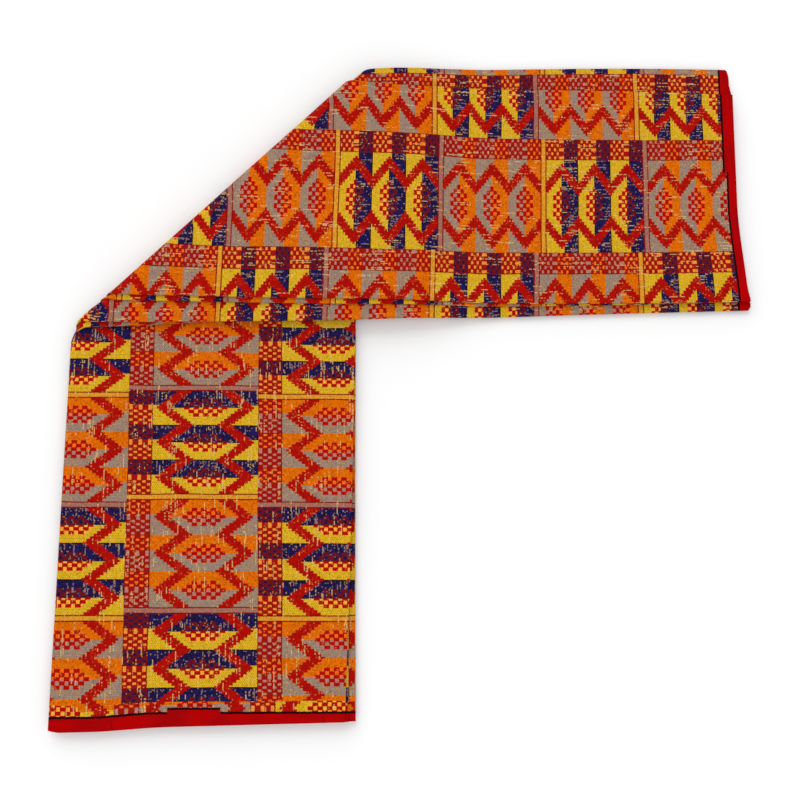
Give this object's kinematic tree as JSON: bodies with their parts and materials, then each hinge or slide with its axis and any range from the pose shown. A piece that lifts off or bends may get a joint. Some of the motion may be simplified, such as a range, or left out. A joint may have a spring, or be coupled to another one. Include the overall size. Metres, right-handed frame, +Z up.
{
  "type": "folded ankara fabric",
  "caption": "Length of printed cotton cloth folded back and forth into a strip, the strip folded once over itself into a corner with two legs.",
  "frame": {"origin": "middle of the bounding box's underside, where the cloth lies on its surface", "axes": "+Z up, +Y along the first leg towards the slanted fold, +X along the second leg towards its selvedge"},
  "size_m": [0.7628, 0.7387, 0.0237],
  "materials": {
    "printed_cotton": "matt plain-weave cotton printed in red, orange, yellow, navy and grey"
  },
  "bodies": {
    "root": {"folded_cloth": "printed_cotton"}
  },
  "joints": []
}
